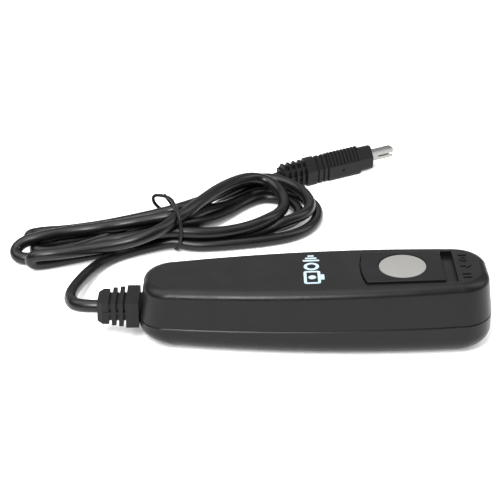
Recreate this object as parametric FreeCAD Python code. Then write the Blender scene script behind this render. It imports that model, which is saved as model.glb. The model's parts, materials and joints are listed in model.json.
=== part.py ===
"""Wired remote shutter release: moulded grip housing, lock slide with a push button, tied cable hank and plug.

Units are millimetres. +X runs towards the button end, +Y away from the user's near side and +Z up.
The origin is at the bottom centre of the housing, which lies on its flat underside.
"""
import FreeCAD
import Part
import math
import os

Vec = FreeCAD.Vector

# ---- driving dimensions of the housing ----
LENGTH = 110.0
WIDTH_CORD_END = 25.0
WIDTH_BUTTON_END = 29.6
HEIGHT_CORD_END = 20.5
HEIGHT_BUTTON_END = 24.8
SEAM_CORD_END = 8.7
SEAM_BUTTON_END = 11.4
WALL = 1.8
CORNER_CORD_END = 9.5
CORNER_BUTTON_END = 10.5
SIDE_BOW = 2.4
SIDE_DRAFT = 1.3
BEVEL = 2.6
BEVEL_STEPS = 4
BEVEL_TURN = 70.0
SEAM_GROOVE = 0.22
SEAM_LIP = 0.3
HALF_LENGTH = LENGTH / 2
TOP_SLOPE = (HEIGHT_BUTTON_END - HEIGHT_CORD_END) / LENGTH
SEAM_SLOPE = (SEAM_BUTTON_END - SEAM_CORD_END) / LENGTH
TOP_MID = (HEIGHT_BUTTON_END + HEIGHT_CORD_END) / 2
SEAM_MID = (SEAM_BUTTON_END + SEAM_CORD_END) / 2

# ---- rounded underside ----
KEEL_DEPTH = 6.6
KEEL_SIDE = 7.2
KEEL_CORD_END = 15.0
KEEL_BUTTON_END = 8.5
KEEL_STEPS = 4

# ---- lock slide and button, in the deck frame (u along the top face, v across, w out of it) ----
BUTTON_X = 27.1
SLIDE_TRAVEL = 3.5
BUTTON_TRAVEL = 2.0
BUTTON_R = 7.3
BUTTON_GAP = 0.3
BUTTON_PROUD = 0.9
BUTTON_DOME = 0.35
CAP_UNDER = -0.8
FLANGE_R = 8.4
FLANGE_TOP = -1.75
FLANGE_THICK = 0.95
SKIRT_INNER_R = 6.1
STEM_R = 1.5
STEM_END = -8.5
PLATE_LEFT = -13.0
PLATE_RIGHT = 12.5
PLATE_HALF = 9.4
PLATE_BOW = 1.3
PLATE_TOP = 0.7
PLATE_UNDER = -1.45
POCKET_GAP = 0.3
POCKET_FLOOR = -1.6
RAIL_INNER = 8.75
RAIL_OUTER = 11.0
RAIL_UNDER = -5.0
END_BAR_UNDER = -3.2
WINDOW_LEFT = -9.0
WINDOW_RIGHT = 12.5
POST_U = 7.5
POST_V = 7.5
POST_R = 0.9
RETAINER_TOP = -5.15
RETAINER_THICK = 0.8
RETAINER_HALF_U = 9.6
RETAINER_HALF_V = 10.2
STEM_HOLE_R = 2.0
SPRING_R = 3.0
SPRING_WIRE_R = 0.22
SPRING_TURNS = 4
SPRING_STEPS = 14
SPRING_SIDES = 6

# ---- leaf contacts, in the deck frame ----
LEAF_THICK = 0.3
LEAF_WIDTH = 4.0
LEAF_PIVOT = -14.0
LEAF_END = 6.0
STACK_LEFT = -21.0
STACK_HALF = 3.5
COMMON_TOP = -8.9
FOCUS_TOP = -10.75
SHUTTER_TOP = -12.65
HINGE_GAP = 0.12
TAB_LEFT = -26.0

# ---- fasteners ----
SCREW_R = 0.9
SCREW_HEAD_R = 1.7
SCREW_HEAD = 1.1
BOSS_R = 2.4
CASE_SCREWS = [(-41.0, -7.6), (-41.0, 7.6), (46.5, -8.2), (46.5, 8.2)]
COUNTERBORE = 3.2

# ---- cord, its strain relief and clamp ----
CORD_D = 4.2
CORD_R = CORD_D / 2
CORD_Z = 9.8
ENTRY_END = -44.0
EXIT_X = -68.2
RELIEF_COLLAR = (-59.1, -54.2, 12.0, 8.6)
RELIEF_RIBS = [(-61.3, -59.9, 11.0, 8.2), (-63.6, -62.2, 10.2, 8.0)]
RELIEF_NOSE = (EXIT_X, -64.5, 9.2, 7.6)
RELIEF_CORE = (8.0, 5.6)
FLANGE_INNER = (-51.6, -50.2, 9.4, 7.4)
CLAMP_X = -47.0
CLAMP_LENGTH = 4.0
CLAMP_HALF = 6.0
CLAMP_SPLIT = CORD_Z - 1.0
CLAMP_TOP = CORD_Z + CORD_R + 1.0
CLAMP_SCREW_Y = (-4.4, 4.4)
CLAMP_SCREW_END = 4.0

# ---- hank: a bundle of nine strands at the tie, with a lobe of loops on each side ----
TIE_X = -47.0
TIE_Y = 60.0
TIE_WIRE_R = 0.55
BUNDLE = 12.8
BUNDLE_BOTTOM = 1.15
FLOOR_GAP = 0.05
ON_FLOOR = CORD_R + 0.1
LOBE_TOP = 8.7
LEFT_LOBE = (-90.3, 52.0, 14.3)
RIGHT_LOBE = (-18.2, 79.0, 23.2)
RIGHT_HOLE = (-20.5, 78.5, 10.5)
NECK_R = 6.4
SHOULDER = 24.0

# ---- loose stretches of the cord ----
LEAD_ROUTE = [
    (EXIT_X, 0.0, CORD_Z),
    (-73.6, 0.0, CORD_Z),
    (-78.8, 2.4, 8.0),
    (-80.0, 9.0, 4.6),
    (-77.6, 18.0, 2.6),
    (-73.4, 28.0, ON_FLOOR),
    (-69.0, 38.0, ON_FLOOR),
    (-63.0, 47.4, ON_FLOOR),
]
TAIL_ROUTE = [
    (-22.4, 97.6, ON_FLOOR),
    (-13.3, 103.2, 5.15),
    (-1.9, 109.4, 5.15),
]
PLUG_START = (-8.9, 105.6, 5.15)
PLUG_TURN = 28.5

# ---- plug, along its own axis s from the cord end; sizes are (s0, s1, width, height) ----
PLUG_FIN = (7.6, 9.6, 0.9)
PLUG_FIN_START = 0.8
PLUG_FIN_PITCH = 2.5
PLUG_FINS = 4
PLUG_CORE = (5.0, 5.4)
PLUG_REAR = (10.4, 14.6, 8.2, 10.2)
PLUG_RIDGES = [(15.6, 17.1), (18.0, 19.3)]
PLUG_RIDGE_SIZE = (7.8, 9.9)
PLUG_GRIP = (20.0, 34.6, 8.2, 10.2)
PLUG_NECK = (6.9, 8.8)
PLUG_GRIP_RIBS = 9
PLUG_RIB_DEPTH = 0.45
PLUG_RIB_GROOVE = 0.4
PLUG_COLLAR = (34.6, 40.6, 6.8, 8.6)
PLUG_DIMPLE = (26.4, -1.6, 0.55, 0.4)
PLUG_SHELL = (34.6, 50.9, 3.5, 3.8)
# Corners of the plug's section as shares of half its width and half its height, from the top round to the bottom.
PLUG_SECTION = [(0.27, 1.0), (1.0, 0.13), (1.0, -0.76), (0.84, -1.0)]
SHELL_WALL = 0.3
PLUG_PINS = 4


def export(name, shape):
    """Write one node."""
    shape.exportStep("parts/" + name + ".step")


def box(x0, x1, y0, y1, z0, z1):
    """Box between two corners."""
    return Part.makeBox(x1 - x0, y1 - y0, z1 - z0, Vec(x0, y0, z0))


def cylinder(radius, z0, z1, x=0.0, y=0.0):
    """Upright cylinder."""
    return Part.makeCylinder(radius, z1 - z0, Vec(x, y, z0))


def along_x(radius, x0, x1, y=0.0, z=0.0):
    """Cylinder along X."""
    return Part.makeCylinder(radius, x1 - x0, Vec(x0, y, z), Vec(1, 0, 0))


def fuse_all(shapes):
    """One clean solid from overlapping shapes."""
    return shapes[0].multiFuse(shapes[1:]).removeSplitter()


def height_at(x):
    """Height of the top face at x."""
    return TOP_MID + TOP_SLOPE * x


def seam_at(x):
    """Height of the seam between the covers at x."""
    return SEAM_MID + SEAM_SLOPE * x


def outline(inset_side, inset_cord, inset_button, mid, slope):
    """Closed plan outline of the grip on a plane at height mid + slope * x, inset from the widest one."""
    x0 = -HALF_LENGTH + inset_cord
    x1 = HALF_LENGTH - inset_button
    w0 = WIDTH_CORD_END / 2 - inset_side
    w1 = WIDTH_BUTTON_END / 2 - inset_side
    r0 = max(CORNER_CORD_END - inset_side * 0.6, 2.0)
    r1 = max(CORNER_BUTTON_END - inset_side * 0.6, 2.0)
    k = math.sqrt(0.5)

    def at(x, y):
        return Vec(x, y, mid + slope * x)

    middle = (x0 + r0 + x1 - r1) / 2
    waist = (w0 + w1) / 2 + SIDE_BOW
    edges = [
        Part.Arc(at(x0 + r0, -w0), at(middle, -waist), at(x1 - r1, -w1)),
        Part.Arc(at(x1 - r1, -w1), at(x1 - r1 + r1 * k, -w1 + r1 - r1 * k), at(x1, -w1 + r1)),
        Part.LineSegment(at(x1, -w1 + r1), at(x1, w1 - r1)),
        Part.Arc(at(x1, w1 - r1), at(x1 - r1 + r1 * k, w1 - r1 + r1 * k), at(x1 - r1, w1)),
        Part.Arc(at(x1 - r1, w1), at(middle, waist), at(x0 + r0, w0)),
        Part.Arc(at(x0 + r0, w0), at(x0 + r0 - r0 * k, w0 - r0 + r0 * k), at(x0, w0 - r0)),
        Part.LineSegment(at(x0, w0 - r0), at(x0, -w0 + r0)),
        Part.Arc(at(x0, -w0 + r0), at(x0 + r0 - r0 * k, -w0 + r0 - r0 * k), at(x0 + r0, -w0)),
    ]
    return Part.Wire([edge.toShape() for edge in edges])


def upper_form(wall):
    """Upper half of the grip, shrunk by a wall thickness: drafted sides, a rounded edge and the sloping deck."""
    side = SIDE_DRAFT + wall
    groove = SEAM_GROOVE + wall
    skirt = Part.makeLoft([
        outline(groove, groove, groove, SEAM_MID, SEAM_SLOPE),
        outline(wall, wall, wall, SEAM_MID + SEAM_LIP, SEAM_SLOPE),
        outline(side, side, side, TOP_MID - BEVEL - wall, TOP_SLOPE),
    ], True, True)
    wires = []
    for step in range(BEVEL_STEPS + 1):
        turn = math.radians(BEVEL_TURN) * step / BEVEL_STEPS
        inset = side + BEVEL * (1 - math.cos(turn)) / (1 - math.cos(math.radians(BEVEL_TURN)))
        below = BEVEL * (1 - math.sin(turn) / math.sin(math.radians(BEVEL_TURN)))
        wires.append(outline(inset, inset, inset, TOP_MID - wall - below, TOP_SLOPE))
    return skirt.fuse(Part.makeLoft(wires, True, False))


def lower_form(wall):
    """Lower half of the grip, shrunk by a wall thickness: a rim and a boat-shaped keel."""
    groove = SEAM_GROOVE + wall
    rim = Part.makeLoft([
        outline(groove, groove, groove, SEAM_MID, SEAM_SLOPE),
        outline(wall, wall, wall, SEAM_MID - SEAM_LIP, SEAM_SLOPE),
        outline(wall, wall, wall, KEEL_DEPTH, 0.0),
    ], True, True)
    wires = []
    for step in range(KEEL_STEPS + 1):
        turn = math.radians(90.0) * step / KEEL_STEPS
        inset = 1 - math.cos(turn)
        depth = KEEL_DEPTH - (KEEL_DEPTH - wall) * math.sin(turn)
        wires.append(outline(wall + (KEEL_SIDE - wall) * inset, wall + KEEL_CORD_END * inset,
                             wall + KEEL_BUTTON_END * inset, depth, 0.0))
    keel = Part.makeLoft(wires, True, False)
    return rim.fuse(keel)


def on_deck(shape):
    """Move a shape from the deck frame onto the sloping top face at the button."""
    placed = shape.copy()
    placed.rotate(Vec(0, 0, 0), Vec(0, 1, 0), -math.degrees(math.atan(TOP_SLOPE)))
    placed.translate(Vec(BUTTON_X, 0, height_at(BUTTON_X)))
    return placed


def plate_blank(grow, reach, w0, w1):
    """Slide plate outline with its bowed cord-side edge, grown all round and reaching further right."""
    left = PLATE_LEFT - grow
    right = PLATE_RIGHT + grow + reach
    half = PLATE_HALF + grow
    corner = left + PLATE_BOW
    edges = [
        Part.LineSegment(Vec(corner, -half, w0), Vec(right, -half, w0)),
        Part.LineSegment(Vec(right, -half, w0), Vec(right, half, w0)),
        Part.LineSegment(Vec(right, half, w0), Vec(corner, half, w0)),
        Part.Arc(Vec(corner, half, w0), Vec(left, 0, w0), Vec(corner, -half, w0)),
    ]
    face = Part.Face(Part.Wire([edge.toShape() for edge in edges]))
    return face.extrude(Vec(0, 0, w1 - w0))


def lock_marks():
    """Raised generic marks beside the slide: an arrow along the slide and three bars across it."""
    lift = 0.25
    root = -0.3
    marks = [box(18.0, 20.6, v - 0.45, v + 0.45, root, lift) for v in (-7.0, -4.9, 7.0)]
    shaft = box(17.8, 19.6, -0.4, 0.4, root, lift)
    head = Part.Face(Part.makePolygon([Vec(19.6, -1.5, root), Vec(21.4, 0, root),
                                       Vec(19.6, 1.5, root), Vec(19.6, -1.5, root)]))
    ring = cylinder(1.25, root, lift, 19.3, 4.1).cut(cylinder(0.75, root, lift, 19.3, 4.1))
    return marks + [shaft, head.extrude(Vec(0, 0, lift - root)), ring]


def cord_port(grow):
    """Opening in the cord end that holds the neck of the strain relief, shared by both covers."""
    width = RELIEF_CORE[0] + 2 * grow
    height = RELIEF_CORE[1] + 2 * grow
    return box(-HALF_LENGTH - 1, -HALF_LENGTH + 4, -width / 2, width / 2,
               CORD_Z - height / 2, CORD_Z + height / 2)


def top_cover():
    """Upper shell with the slide pocket, its rails and four screw bosses."""
    outer = upper_form(0.0)
    shell = outer.cut(upper_form(WALL))
    room = upper_form(WALL * 0.5)
    deck = [
        box(PLATE_LEFT - 2, PLATE_RIGHT + SLIDE_TRAVEL + 2, RAIL_INNER, RAIL_OUTER, RAIL_UNDER, -WALL / 2),
        box(PLATE_LEFT - 2, PLATE_RIGHT + SLIDE_TRAVEL + 2, -RAIL_OUTER, -RAIL_INNER, RAIL_UNDER, -WALL / 2),
        box(PLATE_LEFT - 2, WINDOW_LEFT, -RAIL_OUTER, RAIL_OUTER, END_BAR_UNDER, -WALL / 2),
        box(WINDOW_RIGHT, PLATE_RIGHT + SLIDE_TRAVEL + 2, -RAIL_OUTER, RAIL_OUTER, END_BAR_UNDER, -WALL / 2),
    ]
    frame = [on_deck(piece).common(room) for piece in deck]
    bosses = [cylinder(BOSS_R, seam_at(x), height_at(x) - WALL / 2, x, y).common(room) for x, y in CASE_SCREWS]
    body = shell.multiFuse(frame + bosses + [on_deck(mark) for mark in lock_marks()])
    pocket = on_deck(plate_blank(POCKET_GAP, SLIDE_TRAVEL, POCKET_FLOOR, 3.0))
    window = on_deck(box(WINDOW_LEFT, WINDOW_RIGHT, -RAIL_INNER, RAIL_INNER, -6.0, 1.0))
    holes = [cylinder(SCREW_R, 0, seam_at(x) + 7.0, x, y) for x, y in CASE_SCREWS]
    return body.cut(fuse_all([pocket, window])).cut(Part.Compound(holes + [cord_port(0.0)]))


def bottom_cover():
    """Lower shell with a flat underside, screw posts and the seat of the contact block."""
    shell = lower_form(0.0).cut(lower_form(WALL))
    room = lower_form(WALL * 0.5)
    posts = [cylinder(BOSS_R + 0.6, WALL / 2, seam_at(x), x, y).common(room) for x, y in CASE_SCREWS]
    cradle = clamp_block(WALL / 2, CLAMP_SPLIT).common(room).cut(cord_channel())
    body = shell.multiFuse(posts + [cradle]).cut(clamp_holes(SCREW_R))
    for x, y in CASE_SCREWS:
        body = body.cut(cylinder(SCREW_R + 0.2, -1, seam_at(x) + 1, x, y))
        body = body.cut(cylinder(SCREW_HEAD_R + 0.25, -1, COUNTERBORE, x, y))
    return body.cut(cord_port(0.0))


def case_screws():
    """Four self-tapping screws that close the covers from below."""
    screws = []
    for x, y in CASE_SCREWS:
        shank = cylinder(SCREW_R, COUNTERBORE, seam_at(x) + 6.5, x, y)
        head = cylinder(SCREW_HEAD_R, COUNTERBORE - SCREW_HEAD, COUNTERBORE, x, y)
        slot_a = box(x - 1.1, x + 1.1, y - 0.2, y + 0.2, COUNTERBORE - SCREW_HEAD, COUNTERBORE - SCREW_HEAD + 0.5)
        slot_b = box(x - 0.2, x + 0.2, y - 1.1, y + 1.1, COUNTERBORE - SCREW_HEAD, COUNTERBORE - SCREW_HEAD + 0.5)
        screws.append(fuse_all([shank, head]).cut(slot_a).cut(slot_b))
    return Part.Compound(screws)


def slide_plate():
    """Lock slide: a flat plate with the button's hole and four posts to the retainer."""
    plate = plate_blank(0.0, 0.0, PLATE_UNDER, PLATE_TOP)
    plate = plate.makeFillet(0.35, [edge for edge in plate.Edges if edge.BoundBox.ZMin > PLATE_TOP - 0.01])
    posts = [cylinder(POST_R, RETAINER_TOP, PLATE_UNDER + 0.5, u, v)
             for u in (-POST_U, POST_U) for v in (-POST_V, POST_V)]
    bore = cylinder(BUTTON_R + BUTTON_GAP, PLATE_UNDER - 0.01, PLATE_TOP + 1)
    pilots = [cylinder(0.5, RETAINER_TOP - 1, PLATE_UNDER - 0.5, u, v)
              for u in (-POST_U, POST_U) for v in (-POST_V, POST_V)]
    body = plate.multiFuse(posts).removeSplitter()
    return on_deck(body.cut(bore).cut(Part.Compound(pilots)))


def slide_retainer():
    """Steel plate under the rails that holds the slide down and carries the button's spring."""
    under = RETAINER_TOP - RETAINER_THICK
    plate = box(-RETAINER_HALF_U, RETAINER_HALF_U, -RETAINER_HALF_V, RETAINER_HALF_V, under, RETAINER_TOP)
    holes = [cylinder(0.5, under - 1, RETAINER_TOP + 1, u, v)
             for u in (-POST_U, POST_U) for v in (-POST_V, POST_V)]
    holes.append(cylinder(STEM_HOLE_R, under - 1, RETAINER_TOP + 1))
    return on_deck(plate.cut(Part.Compound(holes)))


def retainer_screws():
    """Four small screws that hold the retainer to the slide's posts."""
    under = RETAINER_TOP - RETAINER_THICK
    screws = []
    for u in (-POST_U, POST_U):
        for v in (-POST_V, POST_V):
            shank = cylinder(0.5, under, RETAINER_TOP + 2.6, u, v)
            head = cylinder(1.0, under - 0.5, under, u, v)
            screws.append(fuse_all([shank, head]))
    return on_deck(Part.Compound(screws))


def shutter_button():
    """Round button: a shallow dome on a skirt with a stop flange, and the stem that works the contacts."""
    rim_z = BUTTON_PROUD - BUTTON_DOME
    cap = cylinder(BUTTON_R, FLANGE_TOP - 0.2, rim_z)
    sphere_r = (BUTTON_R ** 2 + BUTTON_DOME ** 2) / (2 * BUTTON_DOME)
    ball = Part.makeSphere(sphere_r, Vec(0, 0, BUTTON_PROUD - sphere_r))
    dome = ball.common(cylinder(BUTTON_R, rim_z - 0.1, BUTTON_PROUD + 0.1))
    flange = cylinder(FLANGE_R, FLANGE_TOP - FLANGE_THICK, FLANGE_TOP)
    hollow = cylinder(SKIRT_INNER_R, FLANGE_TOP - FLANGE_THICK - 1, CAP_UNDER)
    stem = cylinder(STEM_R, STEM_END + STEM_R, CAP_UNDER + 0.5)
    tip = Part.makeSphere(STEM_R, Vec(0, 0, STEM_END + STEM_R))
    shell = cap.multiFuse([dome, flange]).cut(hollow)
    return on_deck(shell.multiFuse([stem, tip]).removeSplitter())


def button_spring():
    """Return spring between the retainer and the underside of the button's cap, as a faceted coiled wire."""
    start = RETAINER_TOP + SPRING_WIRE_R
    height = CAP_UNDER - SPRING_WIRE_R - start
    steps = SPRING_TURNS * SPRING_STEPS
    rings = []
    for step in range(steps + 1):
        turn = math.tau * step / SPRING_STEPS
        ring = []
        for side in range(SPRING_SIDES):
            around = math.tau * side / SPRING_SIDES
            reach = SPRING_R + SPRING_WIRE_R * math.cos(around)
            rise = start + height * step / steps + SPRING_WIRE_R * math.sin(around)
            ring.append(Vec(reach * math.cos(turn), reach * math.sin(turn), rise))
        rings.append(ring)
    triangles = []
    for low, high in zip(rings, rings[1:]):
        for side in range(SPRING_SIDES):
            after = (side + 1) % SPRING_SIDES
            triangles.append((low[side], low[after], high[after]))
            triangles.append((low[side], high[after], high[side]))
    for side in range(1, SPRING_SIDES - 1):
        triangles.append((rings[0][0], rings[0][side + 1], rings[0][side]))
        triangles.append((rings[-1][0], rings[-1][side], rings[-1][side + 1]))
    faces = [Part.Face(Part.makePolygon([one, two, three, one])) for one, two, three in triangles]
    return on_deck(Part.Solid(Part.Shell(faces)))


def leaf(top, u0, u1):
    """One flat length of contact leaf."""
    return box(u0, u1, -LEAF_WIDTH / 2, LEAF_WIDTH / 2, top - LEAF_THICK, top)


def stack_holes():
    """Clearance for the two screws through the contact stack."""
    holes = [cylinder(SCREW_R, -30, 0, LEAF_PIVOT - 3.5, v) for v in (-2.75, 2.75)]
    return Part.Compound(holes)


def stack_block(w0, w1, left=STACK_LEFT, right=LEAF_PIVOT):
    """Insulating block of the contact stack."""
    return box(left, right, -STACK_HALF - 1.0, STACK_HALF + 1.0, w0, w1).cut(stack_holes())


def terminal(top, u_end):
    """Clamped root of a contact leaf, with its solder tab behind the stack."""
    root = box(STACK_LEFT, u_end, -LEAF_WIDTH / 2 + 0.25, LEAF_WIDTH / 2 - 0.25, top - LEAF_THICK, top)
    tab = box(TAB_LEFT, STACK_LEFT, -1.0, 1.0, top - LEAF_THICK, top)
    return fuse_all([root, tab]).cut(stack_holes())


def contact_base():
    """Block on the floor of the lower cover that carries the contact stack."""
    block = on_deck(stack_block(SHUTTER_TOP - LEAF_THICK - 9.0, SHUTTER_TOP - LEAF_THICK))
    x_mid = BUTTON_X + (STACK_LEFT + LEAF_PIVOT) / 2
    below = box(x_mid - 10, x_mid + 10, -10, 10, -10, WALL)
    return block.cut(below)


def contact_stack():
    """Fixed pieces of the contact stack, from the lower leaf up to the clamp bar."""
    focus_under = FOCUS_TOP - LEAF_THICK
    common_under = COMMON_TOP - LEAF_THICK
    shutter_leaf = fuse_all([leaf(SHUTTER_TOP, LEAF_PIVOT, LEAF_END), terminal(SHUTTER_TOP, LEAF_PIVOT)])
    return {
        "shutter_contact_leaf": on_deck(shutter_leaf),
        "lower_spacer": on_deck(stack_block(SHUTTER_TOP, focus_under)),
        "focus_terminal": on_deck(terminal(FOCUS_TOP, LEAF_PIVOT)),
        "upper_spacer": on_deck(stack_block(FOCUS_TOP, common_under)),
        "common_terminal": on_deck(terminal(COMMON_TOP, LEAF_PIVOT)),
        "clamp_bar": on_deck(stack_block(COMMON_TOP, COMMON_TOP + 1.0)),
    }


def moving_leaf(top):
    """Free length of a contact leaf, which bends at the face of the stack."""
    return on_deck(leaf(top, LEAF_PIVOT + HINGE_GAP, LEAF_END))


def stack_screws():
    """Two screws through the clamp bar and spacers into the contact base."""
    screws = []
    for v in (-2.75, 2.75):
        u = LEAF_PIVOT - 3.5
        shank = cylinder(SCREW_R, SHUTTER_TOP - 5.0, COMMON_TOP + 1.0, u, v)
        head = cylinder(1.6, COMMON_TOP + 1.0, COMMON_TOP + 1.9, u, v)
        slot = box(u - 2, u + 2, v - 0.2, v + 0.2, COMMON_TOP + 1.5, COMMON_TOP + 2)
        screws.append(fuse_all([shank, head]).cut(slot))
    return on_deck(Part.Compound(screws))


def tapered_block(x0, x1, width0, height0, width1, height1, z):
    """Block along X whose section changes from one end to the other."""
    wires = []
    for x, width, height in ((x0, width0, height0), (x1, width1, height1)):
        half = width / 2
        rise = height / 2
        corners = [(-half, -rise), (half, -rise), (half, rise), (-half, rise), (-half, -rise)]
        wires.append(Part.makePolygon([Vec(x, a, z + b) for a, b in corners]))
    return Part.makeLoft(wires, True, True)


def block_at(span, z):
    """Straight block along X from (x0, x1, width, height)."""
    x0, x1, width, height = span
    return box(x0, x1, -width / 2, width / 2, z - height / 2, z + height / 2)


def strain_relief():
    """Moulded relief: flange inside the covers, neck, collar, two ribs and a nose round the cord."""
    x0, x1, width, height = RELIEF_NOSE
    nose = tapered_block(x0, x0 + 1.6, width - 1.8, height - 1.4, width, height, CORD_Z)
    core = box(x0 + 1, FLANGE_INNER[1], -RELIEF_CORE[0] / 2, RELIEF_CORE[0] / 2,
               CORD_Z - RELIEF_CORE[1] / 2, CORD_Z + RELIEF_CORE[1] / 2)
    collar = block_at((RELIEF_COLLAR[0], -HALF_LENGTH, RELIEF_COLLAR[2], RELIEF_COLLAR[3]), CORD_Z)
    blocks = [nose, block_at((x0 + 1.6, x1, width, height), CORD_Z), core, collar, block_at(FLANGE_INNER, CORD_Z)]
    blocks += [block_at(rib, CORD_Z) for rib in RELIEF_RIBS]
    web = box(x0 + 2, RELIEF_COLLAR[0] + 1, -RELIEF_CORE[0] / 2 - 0.7, RELIEF_CORE[0] / 2 + 0.7,
              CORD_Z - 0.5, CORD_Z + 0.5)
    return fuse_all(blocks + [web]).cut(along_x(CORD_R, x0 - 1, FLANGE_INNER[1] + 1, 0, CORD_Z))


def cord_entry():
    """Stretch of cord held in the strain relief and the clamp."""
    return along_x(CORD_R, EXIT_X, ENTRY_END, 0, CORD_Z)


def clamp_block(z0, z1):
    """Block across the cord at the clamp."""
    return box(CLAMP_X - CLAMP_LENGTH / 2, CLAMP_X + CLAMP_LENGTH / 2, -CLAMP_HALF, CLAMP_HALF, z0, z1)


def cord_channel():
    """Room for the cord through the clamp."""
    return along_x(CORD_R, CLAMP_X - CLAMP_LENGTH, CLAMP_X + CLAMP_LENGTH, 0, CORD_Z)


def cord_clamp():
    """Saddle that holds the cord down on the cradle of the lower cover."""
    saddle = clamp_block(CLAMP_SPLIT, CLAMP_TOP)
    return saddle.cut(cord_channel()).cut(clamp_holes(SCREW_R))


def clamp_holes(radius):
    """Two screw holes through the clamp and its cradle."""
    return Part.Compound([cylinder(radius, CLAMP_SCREW_END, CORD_Z + 8, CLAMP_X, y) for y in CLAMP_SCREW_Y])


def clamp_screws():
    """Two screws of the cord clamp."""
    screws = []
    for y in CLAMP_SCREW_Y:
        shank = cylinder(SCREW_R, CLAMP_SCREW_END, CLAMP_TOP, CLAMP_X, y)
        screws.append(fuse_all([shank, cylinder(1.5, CLAMP_TOP, CLAMP_TOP + 0.8, CLAMP_X, y)]))
    return Part.Compound(screws)


def rounded_path(points):
    """Straight runs joined by tangent arcs, each as large as its two runs allow; returns wire and radii."""
    pts = [Vec(*point) for point in points]
    edges = []
    radii = []
    start = pts[0]
    for index in range(1, len(pts) - 1):
        corner = pts[index]
        back = pts[index - 1] - corner
        ahead = pts[index + 1] - corner
        turn = math.pi - back.getAngle(ahead)
        reach = 0.45 * min(back.Length, ahead.Length)
        radii.append(reach / math.tan(turn / 2))
        back.normalize()
        ahead.normalize()
        enter = corner + back * reach
        leave = corner + ahead * reach
        to_centre = back + ahead
        to_centre.normalize()
        gap = radii[-1] * (1 / math.cos(turn / 2) - 1)
        edges.append(Part.LineSegment(start, enter).toShape())
        edges.append(Part.Arc(enter, corner + to_centre * gap, leave).toShape())
        start = leave
    edges.append(Part.LineSegment(start, pts[-1]).toShape())
    return Part.Wire(edges), radii


def tube(name, points, radius):
    """Round tube along a rounded path, with its radii and volume printed."""
    path, radii = rounded_path(points)
    first = Vec(*points[1]) - Vec(*points[0])
    section = Part.Wire([Part.Circle(Vec(*points[0]), first, radius).toShape()])
    solid = path.makePipeShell([section], True, False)
    exact = math.pi * radius ** 2 * path.Length
    print(name, "length %.1f" % path.Length, "volume ratio %.4f" % (solid.Volume / exact),
          "radii", " ".join("%.1f" % value for value in radii))
    return solid


def wires():
    """Three insulated conductors from the end of the jacket to the solder tabs."""
    tab_x = BUTTON_X + TAB_LEFT
    runs = {
        "wire_common": (COMMON_TOP, 1.0, 3.6),
        "wire_focus": (FOCUS_TOP, 0.0, 0.4),
        "wire_shutter": (SHUTTER_TOP, -1.0, -3.4),
    }
    solids = {}
    for name, (top, side, bow) in runs.items():
        end_z = height_at(BUTTON_X) + top + TOP_SLOPE * TAB_LEFT + 0.62
        points = [
            (ENTRY_END, side, CORD_Z),
            (ENTRY_END + 8.0, side, CORD_Z),
            (ENTRY_END + 19.0, bow, CORD_Z - 1.0 + side),
            (tab_x - 14.0, bow * 0.8, end_z + 0.4),
            (tab_x - 4.5, side * 0.3, end_z + 0.5),
            (tab_x + 1.0, 0.0, end_z),
        ]
        solids[name] = tube(name, points, 0.5)
    return solids


def solder_joints():
    """Solder beads on the three tabs."""
    beads = []
    for top in (COMMON_TOP, FOCUS_TOP, SHUTTER_TOP):
        bead = Part.makeSphere(0.85, Vec(TAB_LEFT + 2.3, 0, top)).common(
            box(TAB_LEFT, TAB_LEFT + 4.5, -1, 1, top, top + 1))
        beads.append(bead)
    return on_deck(Part.Compound(beads))


def teardrop(x0, y0, r0, x1, y1, r1, z0, z1):
    """Upright slab whose outline hulls two circles."""
    angle = math.atan2(y1 - y0, x1 - x0)
    spread = math.acos((r0 - r1) / math.hypot(x1 - x0, y1 - y0))

    def rim(x, y, r, turn):
        return Vec(x + r * math.cos(angle + turn), y + r * math.sin(angle + turn), z0)

    edges = [
        Part.Arc(rim(x0, y0, r0, spread), rim(x0, y0, r0, math.pi), rim(x0, y0, r0, -spread)),
        Part.LineSegment(rim(x0, y0, r0, -spread), rim(x1, y1, r1, -spread)),
        Part.Arc(rim(x1, y1, r1, -spread), rim(x1, y1, r1, 0.0), rim(x1, y1, r1, spread)),
        Part.LineSegment(rim(x1, y1, r1, spread), rim(x0, y0, r0, spread)),
    ]
    face = Part.Face(Part.Wire([edge.toShape() for edge in edges]))
    return face.extrude(Vec(0, 0, z1 - z0))


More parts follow.
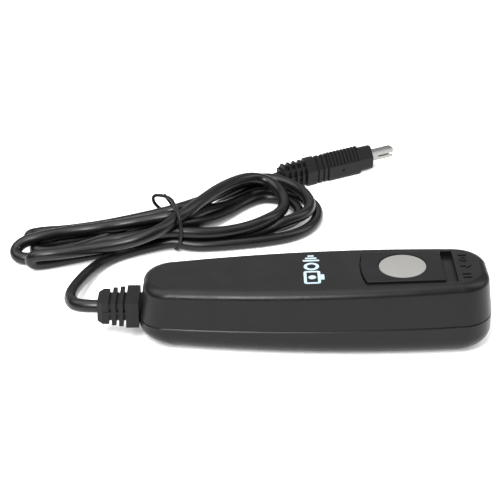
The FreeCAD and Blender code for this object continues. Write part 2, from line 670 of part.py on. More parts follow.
def cord_hank():
    """Outer shape of the tied hank: a flat lobe, the bundle at the tie and an open lobe of loops."""
    left = teardrop(*LEFT_LOBE, TIE_X, TIE_Y, NECK_R, FLOOR_GAP, LOBE_TOP)
    right = teardrop(*RIGHT_LOBE, TIE_X, TIE_Y, NECK_R, FLOOR_GAP, LOBE_TOP)
    hole = teardrop(*RIGHT_HOLE, TIE_X + 12, TIE_Y + 7, 1.5, -1, LOBE_TOP + 1)
    bundle_top = BUNDLE_BOTTOM + BUNDLE
    y0 = TIE_Y - BUNDLE / 2
    profile = Part.makePolygon([
        Vec(TIE_X - SHOULDER, y0, LOBE_TOP - 1), Vec(TIE_X - 5, y0, bundle_top),
        Vec(TIE_X + 5, y0, bundle_top), Vec(TIE_X + SHOULDER, y0, LOBE_TOP - 1),
        Vec(TIE_X - SHOULDER, y0, LOBE_TOP - 1)])
    shoulder = Part.Face(profile).extrude(Vec(0, BUNDLE, 0))
    shoulder = shoulder.common(fuse_all([
        teardrop(*LEFT_LOBE, TIE_X, TIE_Y, NECK_R, FLOOR_GAP, bundle_top + 1),
        teardrop(*RIGHT_LOBE, TIE_X, TIE_Y, NECK_R, FLOOR_GAP, bundle_top + 1)]))
    solid = fuse_all([left, right, shoulder]).cut(hole)
    ring_room = box(TIE_X - 1, TIE_X + 1, TIE_Y - 20, TIE_Y + 20, -1, 30)
    waist = box(TIE_X - 1, TIE_X + 1, y0, y0 + BUNDLE, BUNDLE_BOTTOM, bundle_top)
    return solid.cut(ring_room.cut(waist))


def twist_tie():
    """Wire tie bent round the bundle, with its two ends twisted up on the far side."""
    gap = TIE_WIRE_R + 0.02
    y0 = TIE_Y - BUNDLE / 2 - gap
    y1 = TIE_Y + BUNDLE / 2 + gap
    z0 = BUNDLE_BOTTOM - gap
    z1 = BUNDLE_BOTTOM + BUNDLE + gap
    outer = box(TIE_X - TIE_WIRE_R, TIE_X + TIE_WIRE_R, y0 - TIE_WIRE_R, y1 + TIE_WIRE_R,
                z0 - TIE_WIRE_R, z1 + TIE_WIRE_R)
    inner = box(TIE_X - 2, TIE_X + 2, y0 + TIE_WIRE_R, y1 - TIE_WIRE_R, z0 + TIE_WIRE_R, z1 - TIE_WIRE_R)
    return outer.cut(inner)


def on_plug(shape):
    """Move a shape from the plug's own axis, along X, to where the plug lies."""
    placed = shape.copy()
    placed.rotate(Vec(0, 0, 0), Vec(0, 0, 1), PLUG_TURN)
    placed.translate(Vec(*PLUG_START))
    return placed


def faceted(s0, s1, width, height):
    """Length of the plug's eight-sided section: narrow top, sloping flanks, upright sides and a flat underside."""
    half = [(v * width / 2, w * height / 2) for v, w in PLUG_SECTION]
    corners = half + [(-v, w) for v, w in reversed(half)]
    face = Part.Face(Part.makePolygon([Vec(s0, v, w) for v, w in corners + corners[:1]]))
    return face.extrude(Vec(s1 - s0, 0, 0))


def plug_boot():
    """Rubber boot with four fins round the cord behind the plug, and a thin web along its two sides."""
    width, height, thick = PLUG_FIN
    core = box(0, PLUG_REAR[0], -PLUG_CORE[0] / 2, PLUG_CORE[0] / 2, -PLUG_CORE[1] / 2, PLUG_CORE[1] / 2)
    web = box(PLUG_FIN_START, PLUG_REAR[0], -width / 2 + 0.7, width / 2 - 0.7, -1.2, -0.4)
    fins = []
    for index in range(PLUG_FINS):
        s = PLUG_FIN_START + index * PLUG_FIN_PITCH
        fins.append(faceted(s, s + thick, width, height))
    return on_plug(fuse_all([core, web] + fins).cut(along_x(CORD_R, -1, PLUG_REAR[0] - 2.0)))


def plug_grip():
    """Moulded grip on a waist: rear block, two ridges and a middle with ribs across its sloping flanks."""
    neck = faceted(PLUG_REAR[0], PLUG_GRIP[0] + 1, PLUG_NECK[0], PLUG_NECK[1])
    ridges = [faceted(s0, s1, PLUG_RIDGE_SIZE[0], PLUG_RIDGE_SIZE[1]) for s0, s1 in PLUG_RIDGES]
    s0, s1, width, height = PLUG_GRIP
    pitch = (s1 - s0 - 0.6) / PLUG_GRIP_RIBS
    grooves = []
    for index in range(PLUG_GRIP_RIBS):
        s = s0 + 0.6 + index * pitch
        outer = box(s, s + pitch * PLUG_RIB_GROOVE, -width, width, 0.09 * height, height)
        inner = faceted(s - 1, s + pitch, width - 2 * PLUG_RIB_DEPTH, height - 2 * PLUG_RIB_DEPTH)
        grooves.append(outer.cut(inner))
    body = fuse_all([neck, faceted(*PLUG_REAR), faceted(*PLUG_GRIP)] + ridges)
    s, w, radius, depth = PLUG_DIMPLE
    for side in (-1, 1):
        mouth = Vec(s, side * (width / 2 - depth), w)
        grooves.append(Part.makeCylinder(radius, 2, mouth, Vec(0, side, 0)))
    return on_plug(body.cut(Part.Compound(grooves)))


def plug_collar():
    """Front collar round the metal shell."""
    s0, s1 = PLUG_COLLAR[0], PLUG_COLLAR[1]
    return on_plug(faceted(*PLUG_COLLAR).cut(block_at((s0 - 1, s1 + 1, PLUG_SHELL[2], PLUG_SHELL[3]), 0)))


def plug_shell():
    """Sheet-metal shell of the plug, open at the front, with a latch slot in each side."""
    s0, s1, width, height = PLUG_SHELL
    outer = block_at(PLUG_SHELL, 0)
    outer = outer.makeFillet(0.45, [edge for edge in outer.Edges if edge.BoundBox.XLength > 1])
    tube_wall = outer.cut(block_at((s0 + 1, s1 + 1, width - 2 * SHELL_WALL, height - 2 * SHELL_WALL), 0))
    slots = box(PLUG_COLLAR[1] + 3.4, s1 + 1, -width, width, -0.55, 0.05)
    return on_plug(tube_wall.cut(slots))


def plug_insulator():
    """Plastic tongue inside the shell."""
    s0, s1, width, height = PLUG_SHELL
    return on_plug(block_at((s0 + 1, s1 - 1.0, width - 2 * SHELL_WALL, 1.1), 0.9))


def plug_contacts():
    """Contact strips on the tongue."""
    s0, s1, width, height = PLUG_SHELL
    pitch = (width - 2 * SHELL_WALL) / PLUG_PINS
    strips = []
    for index in range(PLUG_PINS):
        v = -width / 2 + SHELL_WALL + (index + 0.5) * pitch
        strips.append(box(s0 + 2, s1 - 1.2, v - 0.22, v + 0.22, 0.2, 0.35))
    return on_plug(Part.Compound(strips))


def main():
    """Build and export every node."""
    os.makedirs("parts", exist_ok=True)
    nodes = {
        "top_cover": top_cover(),
        "bottom_cover": bottom_cover(),
        "case_screws": case_screws(),
        "slide_plate": slide_plate(),
        "slide_retainer": slide_retainer(),
        "retainer_screws": retainer_screws(),
        "shutter_button": shutter_button(),
        "button_spring": button_spring(),
        "contact_base": contact_base(),
        "common_contact_leaf": moving_leaf(COMMON_TOP),
        "focus_contact_leaf": moving_leaf(FOCUS_TOP),
        "stack_screws": stack_screws(),
        "strain_relief": strain_relief(),
        "cord_entry": cord_entry(),
        "cord_clamp": cord_clamp(),
        "clamp_screws": clamp_screws(),
        "solder_joints": solder_joints(),
        "cord_lead": tube("cord_lead", LEAD_ROUTE, CORD_R),
        "cord_hank": cord_hank(),
        "cord_tail": tube("cord_tail", TAIL_ROUTE, CORD_R),
        "twist_tie": twist_tie(),
        "plug_boot": plug_boot(),
        "plug_grip": plug_grip(),
        "plug_collar": plug_collar(),
        "plug_shell": plug_shell(),
        "plug_insulator": plug_insulator(),
        "plug_contacts": plug_contacts(),
    }
    nodes.update(contact_stack())
    nodes.update(wires())
    for name, shape in nodes.items():
        bounds = shape.BoundBox
        print("%-22s valid %s solids %d volume %.1f  x %.1f %.1f  y %.1f %.1f  z %.2f %.2f" % (
            name, shape.isValid(), len(shape.Solids), shape.Volume,
            bounds.XMin, bounds.XMax, bounds.YMin, bounds.YMax, bounds.ZMin, bounds.ZMax))
        export(name, shape)


main()
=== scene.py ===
"""Looks of the wired remote shutter release: camera, cord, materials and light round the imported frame."""
import json
import math

import bpy
from mathutils import Matrix, Vector


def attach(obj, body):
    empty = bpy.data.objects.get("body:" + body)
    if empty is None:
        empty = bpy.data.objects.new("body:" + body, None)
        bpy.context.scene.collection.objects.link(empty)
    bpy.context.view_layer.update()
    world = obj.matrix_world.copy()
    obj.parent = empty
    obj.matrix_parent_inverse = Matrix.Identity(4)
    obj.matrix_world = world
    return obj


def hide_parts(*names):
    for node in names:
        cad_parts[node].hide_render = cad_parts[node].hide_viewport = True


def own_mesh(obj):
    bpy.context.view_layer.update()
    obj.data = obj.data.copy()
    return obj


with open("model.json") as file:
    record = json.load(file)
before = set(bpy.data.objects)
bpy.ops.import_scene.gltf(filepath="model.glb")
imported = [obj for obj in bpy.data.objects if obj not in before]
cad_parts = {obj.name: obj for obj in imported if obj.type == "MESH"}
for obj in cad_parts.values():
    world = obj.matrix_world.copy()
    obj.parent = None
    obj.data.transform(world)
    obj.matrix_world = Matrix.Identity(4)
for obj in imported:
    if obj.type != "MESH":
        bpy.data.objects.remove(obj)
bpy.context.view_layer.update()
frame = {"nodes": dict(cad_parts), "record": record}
NODES = frame["nodes"]
MM = 0.001

# ---- camera: the photograph's low three-quarter view from the near side, in millimetres ----
CAMERA_PLACE = (-20.3, -377.5, 233.2)
CAMERA_DROP = math.radians(28.3)
CAMERA_LENS = 100.0

# ---- cord: radius, length and the slots of its nine strands at the tie, in metres ----
CORD_RADIUS = 0.0021
TIE = (-0.047, 0.060)
STRAND_PITCH = 0.00425
LAYER_PITCH = 0.00412
BUNDLE_FLOOR = 0.0033
# Where each strand passes the tie, in the order in which the cord comes to it: (row across, layer up).
PASSES = [(-1, 0), (0, 2), (-1, 1), (-1, 2), (0, 0), (1, 2), (1, 0), (0, 1), (1, 1)]
# The cord from the strain relief to the tie, round each loop of the hank in turn, and on to the plug.
LEAD = [
    (-0.0682, 0.0000, 0.0098), (-0.0745, 0.0000, 0.0098), (-0.0778, 0.0050, 0.0088),
    (-0.0784, 0.0145, 0.0066), (-0.0771, 0.0245, 0.0046), (-0.0750, 0.0340, 0.0030),
    (-0.0718, 0.0418, 0.0022), (-0.0668, 0.0474, 0.0022), (-0.0600, 0.0518, 0.0022),
    (-0.0535, 0.0548, 0.0024),
]
RIGHT_LOOPS = [
    [
        (-0.0410, 0.0546, 0.0024), (-0.0350, 0.0546, 0.0022), (-0.0240, 0.0564, 0.0022),
        (-0.0135, 0.0588, 0.0022), (-0.0040, 0.0626, 0.0022), (0.0025, 0.0698, 0.0022),
        (0.0050, 0.0790, 0.0022), (0.0036, 0.0880, 0.0022), (-0.0025, 0.0946, 0.0022),
        (-0.0090, 0.0984, 0.0022), (-0.0165, 0.0984, 0.0022), (-0.0240, 0.0916, 0.0022),
        (-0.0295, 0.0834, 0.0034), (-0.0355, 0.0745, 0.0066), (-0.0410, 0.0650, 0.0090),
    ],
    [
        (-0.0410, 0.0554, 0.0070), (-0.0340, 0.0562, 0.0064), (-0.0270, 0.0582, 0.0062),
        (-0.0200, 0.0606, 0.0068), (-0.0145, 0.0636, 0.0078), (-0.0104, 0.0684, 0.0076),
        (-0.0082, 0.0746, 0.0068), (-0.0076, 0.0810, 0.0066), (-0.0088, 0.0874, 0.0072),
        (-0.0120, 0.0924, 0.0086), (-0.0165, 0.0942, 0.0098), (-0.0215, 0.0922, 0.0110),
        (-0.0270, 0.0860, 0.0120), (-0.0325, 0.0770, 0.0132), (-0.0380, 0.0668, 0.0136),
        (-0.0430, 0.0594, 0.0128),
    ],
    [
        (-0.0410, 0.0592, 0.0024), (-0.0350, 0.0588, 0.0022), (-0.0250, 0.0609, 0.0022),
        (-0.0150, 0.0638, 0.0030), (-0.0080, 0.0664, 0.0056), (-0.0008, 0.0710, 0.0060),
        (0.0021, 0.0780, 0.0060), (0.0010, 0.0870, 0.0060), (-0.0034, 0.0944, 0.0066),
        (-0.0107, 0.0984, 0.0076), (-0.0174, 0.0986, 0.0076), (-0.0240, 0.0946, 0.0076),
        (-0.0300, 0.0864, 0.0084), (-0.0360, 0.0760, 0.0100), (-0.0410, 0.0694, 0.0112),
    ],
    [
        (-0.0410, 0.0638, 0.0024), (-0.0350, 0.0634, 0.0022), (-0.0250, 0.0652, 0.0022),
        (-0.0155, 0.0674, 0.0022), (-0.0080, 0.0704, 0.0022), (-0.0032, 0.0754, 0.0022),
        (-0.0019, 0.0810, 0.0022), (-0.0037, 0.0870, 0.0022), (-0.0086, 0.0922, 0.0022),
        (-0.0157, 0.0938, 0.0022), (-0.0225, 0.0882, 0.0022), (-0.0285, 0.0796, 0.0024),
        (-0.0350, 0.0708, 0.0040), (-0.0410, 0.0642, 0.0066),
    ],
]
LEFT_LOOPS = [
    [
        (-0.0535, 0.0595, 0.0104), (-0.0650, 0.0570, 0.0094), (-0.0750, 0.0585, 0.0070),
        (-0.0855, 0.0570, 0.0064), (-0.0935, 0.0535, 0.0064), (-0.0995, 0.0520, 0.0054),
        (-0.1025, 0.0490, 0.0034), (-0.1005, 0.0450, 0.0024), (-0.0945, 0.0450, 0.0022),
        (-0.0850, 0.0485, 0.0024), (-0.0785, 0.0515, 0.0028), (-0.0730, 0.0510, 0.0054),
        (-0.0670, 0.0500, 0.0070), (-0.0610, 0.0510, 0.0074), (-0.0545, 0.0540, 0.0075),
    ],
    [
        (-0.0515, 0.0495, 0.0110), (-0.0585, 0.0460, 0.0094), (-0.0650, 0.0450, 0.0080),
        (-0.0720, 0.0436, 0.0074), (-0.0840, 0.0404, 0.0070), (-0.0890, 0.0394, 0.0070),
        (-0.0943, 0.0394, 0.0064), (-0.0957, 0.0398, 0.0043), (-0.0941, 0.0408, 0.0024),
        (-0.0898, 0.0422, 0.0022), (-0.0845, 0.0445, 0.0022), (-0.0745, 0.0490, 0.0022),
        (-0.0645, 0.0530, 0.0022), (-0.0585, 0.0565, 0.0022), (-0.0530, 0.0595, 0.0026),
    ],
    [
        (-0.0540, 0.0655, 0.0090), (-0.0625, 0.0670, 0.0062), (-0.0705, 0.0690, 0.0034),
        (-0.0785, 0.0685, 0.0022), (-0.0870, 0.0660, 0.0022), (-0.0950, 0.0650, 0.0022),
        (-0.0995, 0.0630, 0.0022), (-0.0985, 0.0590, 0.0022), (-0.0935, 0.0585, 0.0022),
        (-0.0865, 0.0610, 0.0022), (-0.0755, 0.0635, 0.0022), (-0.0655, 0.0660, 0.0022),
        (-0.0550, 0.0665, 0.0024),
    ],
    [
        (-0.0540, 0.0598, 0.0062), (-0.0620, 0.0596, 0.0042), (-0.0660, 0.0606, 0.0032),
        (-0.0700, 0.0615, 0.0026), (-0.0780, 0.0600, 0.0022), (-0.0860, 0.0575, 0.0022),
        (-0.0910, 0.0562, 0.0022), (-0.0956, 0.0544, 0.0024), (-0.0956, 0.0506, 0.0024),
        (-0.0905, 0.0500, 0.0022), (-0.0855, 0.0522, 0.0022), (-0.0775, 0.0556, 0.0024),
        (-0.0695, 0.0590, 0.0050), (-0.0660, 0.0615, 0.0068), (-0.0615, 0.0630, 0.0068),
        (-0.0550, 0.0643, 0.0072),
    ],
]
TAIL = [
    (-0.0415, 0.0696, 0.0056), (-0.0366, 0.0775, 0.0028), (-0.0300, 0.0890, 0.0022),
    (-0.0224, 0.0976, 0.0022), (-0.0133, 0.1032, 0.0052), (-0.0019, 0.1094, 0.0052),
]


def data_of(name, verts, faces):
    """New mesh object from points and faces."""
    mesh = bpy.data.meshes.new(name)
    mesh.from_pydata(verts, [], faces)
    mesh.update()
    obj = bpy.data.objects.new(name, mesh)
    bpy.context.scene.collection.objects.link(obj)
    return obj


def curve_object(name, points, radius):
    """Round tube on one open NURBS spline with the given control points, in metres."""
    curve = bpy.data.curves.new(name, "CURVE")
    curve.dimensions = "3D"
    curve.bevel_depth = 1.0
    curve.bevel_resolution = 8
    curve.resolution_u = 10
    curve.use_fill_caps = True
    spline = curve.splines.new("NURBS")
    spline.points.add(len(points) - 1)
    for knot, point in zip(spline.points, points):
        knot.co = (point[0], point[1], point[2], 1.0)
        knot.radius = radius
    spline.order_u = 3
    spline.use_endpoint_u = True
    obj = bpy.data.objects.new(name, curve)
    bpy.context.scene.collection.objects.link(obj)
    return obj


# ---- camera ----
camera = bpy.data.objects.new("camera", bpy.data.cameras.new("camera"))
camera.data.lens = CAMERA_LENS
camera.data.sensor_width = 36.0
camera.data.clip_start = 0.01
camera.location = Vector(CAMERA_PLACE) * MM
camera.rotation_euler = (math.pi / 2 - CAMERA_DROP, 0.0, 0.0)
bpy.context.scene.collection.objects.link(camera)
bpy.context.scene.camera = camera

# ---- cord: a lead, four turns of the tied hank and a tail, on one spline ----
def tie_point(index):
    """Where strand number index passes the tie."""
    row, layer = PASSES[index]
    return (TIE[0], TIE[1] + row * STRAND_PITCH, BUNDLE_FLOOR + layer * LAYER_PITCH)


def cord_route():
    """Every point of the cord's spline."""
    points = LEAD + [tie_point(0)]
    passed = 0
    for right, left in zip(RIGHT_LOOPS, LEFT_LOOPS):
        for loop in (right, left):
            passed += 1
            points += loop + [tie_point(passed)]
    return points + TAIL


cord = curve_object("release_cord", cord_route(), CORD_RADIUS)
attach(cord, "housing")
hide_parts("cord_lead", "cord_hank", "cord_tail")

# ---- wire tie round the bundle ----
TIE_WIRE = 0.00062
TIE_ROUTE = [
    (-0.0508, 0.0726, 0.0064), (-0.0528, 0.0718, 0.0082), (-0.0548, 0.0708, 0.0110),
    (-0.0552, 0.0700, 0.0136), (-0.0542, 0.0692, 0.0150), (-0.0522, 0.0686, 0.0152),
    (-0.0498, 0.0670, 0.0154), (-0.0480, 0.0642, 0.0156), (-0.0470, 0.0604, 0.0156),
    (-0.0456, 0.0564, 0.0152), (-0.0448, 0.0534, 0.0134), (-0.0444, 0.0527, 0.0096),
    (-0.0446, 0.0527, 0.0052), (-0.0456, 0.0532, 0.0016), (-0.0468, 0.0556, 0.0006),
    (-0.0470, 0.0600, 0.0006), (-0.0464, 0.0644, 0.0006), (-0.0458, 0.0670, 0.0018),
    (-0.0458, 0.0674, 0.0052), (-0.0468, 0.0674, 0.0096), (-0.0488, 0.0676, 0.0132),
    (-0.0510, 0.0680, 0.0158),
]
tie = curve_object("wire_tie", TIE_ROUTE, TIE_WIRE)
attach(tie, "housing")
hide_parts("twist_tie")

# ---- sloping deck of the housing: its height at mid length, in millimetres, and its slope ----
DECK_MID = 22.65
DECK_SLOPE = 4.3 / 110.0

# ---- pale print on the deck: a generic camera outline, a ring and three bars, in millimetres ----
PRINT_X = -1.1
PRINT_LIFT = 0.04
PRINT_ROOT = -0.05
RING_STEPS = 40
CORNER_STEPS = 4
ICON_ALONG = -4.2
ICON_BODY = (8.0, 5.2, 0.9)
ICON_INSIDE = (6.2, 3.4, 0.3)
ICON_TOP = (3.2, 1.1, 0.3)
ICON_TOP_ACROSS = 3.2
ICON_LENS_RADIUS = 1.2
RING_ALONG = 2.7
RING_RADII = (2.4, 1.4)
BARS = [(6.5, 5.2), (8.0, 3.6), (9.5, 2.0)]
BAR_THICK = 0.95
BAR_CORNER = 0.2


def rectangle(along, across, length, width, corner):
    """Rounded rectangle on the deck, centred at (along Y, across X)."""
    points = []
    for quarter, (side_y, side_x) in enumerate(((1, 1), (-1, 1), (-1, -1), (1, -1))):
        for step in range(CORNER_STEPS + 1):
            turn = math.radians(90.0 * (quarter + step / CORNER_STEPS))
            points.append((along + side_y * (length / 2 - corner) + corner * math.cos(turn),
                           across + side_x * (width / 2 - corner) + corner * math.sin(turn)))
    return points


def circle(along, across, radius):
    """Circle on the deck."""
    return [(along + radius * math.cos(math.tau * step / RING_STEPS),
             across + radius * math.sin(math.tau * step / RING_STEPS)) for step in range(RING_STEPS)]


def add_print(verts, faces, outer, inner=None):
    """Add one thin closed plate of the print, or a closed band where an inner outline is given."""
    loops = [outer] if inner is None else [outer, inner]
    rings = []
    for loop in loops:
        for lift in (PRINT_LIFT, PRINT_ROOT):
            rings.append([len(verts) + index for index in range(len(loop))])
            for along, across in loop:
                x = PRINT_X + across
                verts.append((x * MM, along * MM, (DECK_MID + DECK_SLOPE * x + lift) * MM))
    count = len(outer)
    for index in range(count):
        after = (index + 1) % count
        faces.append((rings[0][index], rings[0][after], rings[1][after], rings[1][index]))
        if inner is not None:
            faces.append((rings[2][after], rings[2][index], rings[3][index], rings[3][after]))
            faces.append((rings[0][after], rings[0][index], rings[2][index], rings[2][after]))
            faces.append((rings[1][index], rings[1][after], rings[3][after], rings[3][index]))
    if inner is None:
        faces.append(tuple(reversed(rings[0])))
        faces.append(tuple(rings[1]))


print_verts, print_faces = [], []
add_print(print_verts, print_faces,
          rectangle(ICON_ALONG, 0.0, *ICON_BODY), rectangle(ICON_ALONG, 0.0, *ICON_INSIDE))
add_print(print_verts, print_faces, rectangle(ICON_ALONG, ICON_TOP_ACROSS, *ICON_TOP))
add_print(print_verts, print_faces, circle(ICON_ALONG, 0.0, ICON_LENS_RADIUS))
add_print(print_verts, print_faces, *[circle(RING_ALONG, 0.0, radius) for radius in RING_RADII])
for bar_along, bar_width in BARS:
    add_print(print_verts, print_faces, rectangle(bar_along, 0.0, BAR_THICK, bar_width, BAR_CORNER))
deck_print = data_of("deck_print", print_verts, print_faces)
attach(deck_print, "housing")

# ---- return spring under the button, in millimetres ----
BUTTON_X = 27.1
SPRING_LOW = -5.15
SPRING_HIGH = -0.80
COIL_RADIUS = 3.0
COIL_WIRE = 0.22
COIL_TURNS = 4
COIL_STEPS = 28
COIL_SIDES = 10
DECK_TILT = math.atan(DECK_SLOPE)
BUTTON_PLACE = (BUTTON_X, 0.0, DECK_MID + DECK_SLOPE * BUTTON_X)
DECK_PLACE = Matrix.Translation(BUTTON_PLACE) @ Matrix.Rotation(-DECK_TILT, 4, "Y")


def spring_coil():
    """Closed tube wound into the return spring."""
    verts, faces = [], []
    steps = COIL_TURNS * COIL_STEPS
    start = SPRING_LOW + COIL_WIRE
    height = SPRING_HIGH - COIL_WIRE - start
    for step in range(steps + 1):
        turn = math.tau * step / COIL_STEPS
        for side in range(COIL_SIDES):
            around = math.tau * side / COIL_SIDES
            reach = COIL_RADIUS + COIL_WIRE * math.cos(around)
            rise = start + height * step / steps + COIL_WIRE * math.sin(around)
            point = DECK_PLACE @ Vector((reach * math.cos(turn), reach * math.sin(turn), rise))
            verts.append(tuple(point * MM))
    for step in range(steps):
        for side in range(COIL_SIDES):
            after = (side + 1) % COIL_SIDES
            low, high = step * COIL_SIDES, (step + 1) * COIL_SIDES
            faces.append((low + side, low + after, high + after, high + side))
    faces.append(tuple(reversed(range(COIL_SIDES))))
    faces.append(tuple(range(steps * COIL_SIDES, (steps + 1) * COIL_SIDES)))
    return data_of("return_coil", verts, faces)


coil = spring_coil()
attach(coil, "slider")
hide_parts("button_spring")
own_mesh(coil)


# ---- materials ----
GRAIN_DETAIL = 3.0
DRIFT_DETAIL = 4.0
DRIFT_BAND = (0.3, 0.7)


def new_material(name):
    """Node material with its Principled shader."""
    material = bpy.data.materials.new(name)
    material.use_nodes = True
    return material, material.node_tree.nodes, material.node_tree.links, \
        material.node_tree.nodes["Principled BSDF"]


def grain_bump(nodes, links, shader, scale, strength, distance):
    """Fine noise bump in object space."""
    coords = nodes.new("ShaderNodeTexCoord")
    noise = nodes.new("ShaderNodeTexNoise")
    noise.inputs["Scale"].default_value = scale
    noise.inputs["Detail"].default_value = GRAIN_DETAIL
    links.new(coords.outputs["Object"], noise.inputs["Vector"])
    bump = nodes.new("ShaderNodeBump")
    bump.inputs["Strength"].default_value = strength
    bump.inputs["Distance"].default_value = distance
    links.new(noise.outputs["Fac"], bump.inputs["Height"])
    links.new(bump.outputs["Normal"], shader.inputs["Normal"])
    return coords


def varied(nodes, links, coords, low, high, scale, target):
    """A colour or value that drifts a little over the surface."""
    noise = nodes.new("ShaderNodeTexNoise")
    noise.inputs["Scale"].default_value = scale
    noise.inputs["Detail"].default_value = DRIFT_DETAIL
    links.new(coords.outputs["Object"], noise.inputs["Vector"])
    ramp = nodes.new("ShaderNodeValToRGB")
    for stop, place, colour in zip(ramp.color_ramp.elements, DRIFT_BAND, (low, high)):
        stop.position = place
        stop.color = colour
    links.new(noise.outputs["Fac"], ramp.inputs["Fac"])
    links.new(ramp.outputs["Color"], target)


def grey(value, tint=(1.0, 1.0, 1.0)):
    """Colour of a given grey with a slight tint."""
    return (value * tint[0], value * tint[1], value * tint[2], 1.0)


def moulded(name, value, tint, roughness, grain, strength, spread=0.08, shine=0.3):
    """Moulded plastic or rubber: fine grain, slight colour drift and uneven gloss."""
    material, nodes, links, shader = new_material(name)
    coords = grain_bump(nodes, links, shader, grain, strength, 0.0002)
    varied(nodes, links, coords, grey(value * (1 - spread), tint), grey(value * (1 + spread), tint), 60.0,
           shader.inputs["Base Color"])
    varied(nodes, links, coords, grey(roughness - 0.04), grey(roughness + 0.05), 140.0,
           shader.inputs["Roughness"])
    shader.inputs["Specular IOR Level"].default_value = shine
    return material


def metal(name, value, tint, roughness, grain, strength):
    """Metal with a fine grain."""
    material, nodes, links, shader = new_material(name)
    coords = grain_bump(nodes, links, shader, grain, strength, 0.0001)
    varied(nodes, links, coords, grey(value * 0.93, tint), grey(value * 1.05, tint), 300.0,
           shader.inputs["Base Color"])
    varied(nodes, links, coords, grey(roughness - 0.05), grey(roughness + 0.06), 500.0,
           shader.inputs["Roughness"])
    shader.inputs["Metallic"].default_value = 1.0
    return material


COOL = (0.97, 1.0, 0.98)
NEUTRAL = (1.0, 1.0, 1.0)
WARM = (1.0, 0.99, 0.95)
MATERIALS = {
    "cover_plastic": moulded("cover_plastic", 0.0045, COOL, 0.34, 5200.0, 0.10, shine=0.20),
    "slide_plastic": moulded("slide_plastic", 0.0045, COOL, 0.36, 5200.0, 0.10, shine=0.18),
    "cord_pvc": moulded("cord_pvc", 0.002, NEUTRAL, 0.34, 2600.0, 0.06, shine=0.32),
    "relief_pvc": moulded("relief_pvc", 0.006, COOL, 0.46, 3600.0, 0.10, shine=0.18),
    "plug_plastic": moulded("plug_plastic", 0.006, COOL, 0.46, 3600.0, 0.10, shine=0.20),
    "block_plastic": moulded("block_plastic", 0.03, NEUTRAL, 0.5, 3000.0, 0.08),
    "tie_plastic": moulded("tie_plastic", 0.006, NEUTRAL, 0.42, 3000.0, 0.05, shine=0.25),
    "button_silver": moulded("button_silver", 0.20, WARM, 0.50, 6000.0, 0.05, 0.02),
    "insulator": moulded("insulator", 0.02, NEUTRAL, 0.35, 3000.0, 0.04),
    "wire_red": moulded("wire_red", 0.45, (1.0, 0.06, 0.05), 0.35, 3000.0, 0.04),
    "wire_white": moulded("wire_white", 0.75, WARM, 0.35, 3000.0, 0.04),
    "wire_yellow": moulded("wire_yellow", 0.75, (1.0, 0.7, 0.08), 0.35, 3000.0, 0.04),
    "screw_steel": metal("screw_steel", 0.55, NEUTRAL, 0.30, 3000.0, 0.05),
    "spring_steel": metal("spring_steel", 0.60, NEUTRAL, 0.25, 3000.0, 0.05),
    "leaf_bronze": metal("leaf_bronze", 0.75, (1.0, 0.66, 0.40), 0.30, 3000.0, 0.05),
    "solder": metal("solder", 0.7, NEUTRAL, 0.28, 2000.0, 0.12),
    "plug_metal": metal("plug_metal", 0.30, WARM, 0.36, 2600.0, 0.05),
    "contact_gold": metal("contact_gold", 0.8, (1.0, 0.78, 0.38), 0.25, 3000.0, 0.05),
}


def dress(obj, material, edge=0.0):
    """Give an object one material and, where asked, softened edges."""
    obj.data.materials.clear()
    obj.data.materials.append(material)
    if edge:
        bevel = obj.modifiers.new("soft edges", "BEVEL")
        bevel.width = edge * MM
        bevel.segments = 3
        bevel.limit_method = "ANGLE"
        bevel.angle_limit = math.radians(35)
        bevel.harden_normals = True


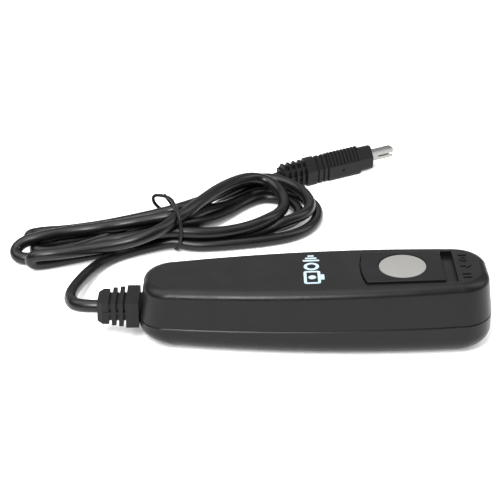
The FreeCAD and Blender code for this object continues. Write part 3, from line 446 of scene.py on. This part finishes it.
# Width of the softened edges, in millimetres; every other node keeps its edges as they are.
EDGES = {
    "strain_relief": 0.3, "plug_boot": 0.3, "plug_grip": 0.25, "plug_collar": 0.4, "plug_shell": 0.06,
    "case_screws": 0.05,
}
for part in frame["record"]["subparts"]:
    node = part["node"]
    if node in NODES:
        dress(NODES[node], MATERIALS[part["material_slot"]], EDGES.get(node, 0.0))
dress(cord, MATERIALS["cord_pvc"])
dress(tie, MATERIALS["tie_plastic"])
dress(coil, MATERIALS["spring_steel"])
dress(deck_print, moulded("print_ink", 0.50, (0.78, 0.97, 1.08), 0.55, 4200.0, 0.08, shine=0.2))

# ---- stage and light ----
FLOOR_HALF = 3.0
FLOOR_GREY = 0.90
FLOOR_GLOW = 0.30
WORLD_STRENGTH = 0.25
floor = data_of("floor", [(-FLOOR_HALF, -FLOOR_HALF, 0.0), (FLOOR_HALF, -FLOOR_HALF, 0.0),
                          (FLOOR_HALF, FLOOR_HALF, 0.0), (-FLOOR_HALF, FLOOR_HALF, 0.0)], [(0, 1, 2, 3)])
floor_material, _, _, floor_shader = new_material("floor")
floor_shader.inputs["Base Color"].default_value = grey(FLOOR_GREY)
floor_shader.inputs["Emission Color"].default_value = grey(1.0)
floor_shader.inputs["Emission Strength"].default_value = FLOOR_GLOW
floor_shader.inputs["Roughness"].default_value = 0.9
floor.data.materials.append(floor_material)


def area_light(name, place, target, size, power):
    """Soft rectangular light at a place, aimed at a target, in metres."""
    light = bpy.data.lights.new(name, "AREA")
    light.shape = "RECTANGLE"
    light.size = size[0]
    light.size_y = size[1]
    light.energy = power
    obj = bpy.data.objects.new(name, light)
    obj.location = place
    obj.rotation_euler = (Vector(target) - Vector(place)).to_track_quat("-Z", "Y").to_euler()
    bpy.context.scene.collection.objects.link(obj)


area_light("overhead", (-0.35, 0.05, 0.80), (-0.08, 0.04, 0.0), (0.7, 1.1), 9.0)
area_light("right", (0.70, 0.15, 0.75), (0.0, 0.08, 0.0), (0.5, 0.9), 5.0)
area_light("strip", (-0.17, -0.46, 0.54), (-0.05, 0.0, 0.0), (0.18, 0.30), 7.0)
area_light("back", (-0.10, 1.30, 0.85), (0.0, 0.0, 0.0), (1.6, 0.6), 2.2)
world = bpy.data.worlds.new("studio")
world.use_nodes = True
background = world.node_tree.nodes["Background"]
background.inputs["Color"].default_value = grey(1.0)
background.inputs["Strength"].default_value = WORLD_STRENGTH
bpy.context.scene.world = world
bpy.context.scene.view_settings.view_transform = "Standard"
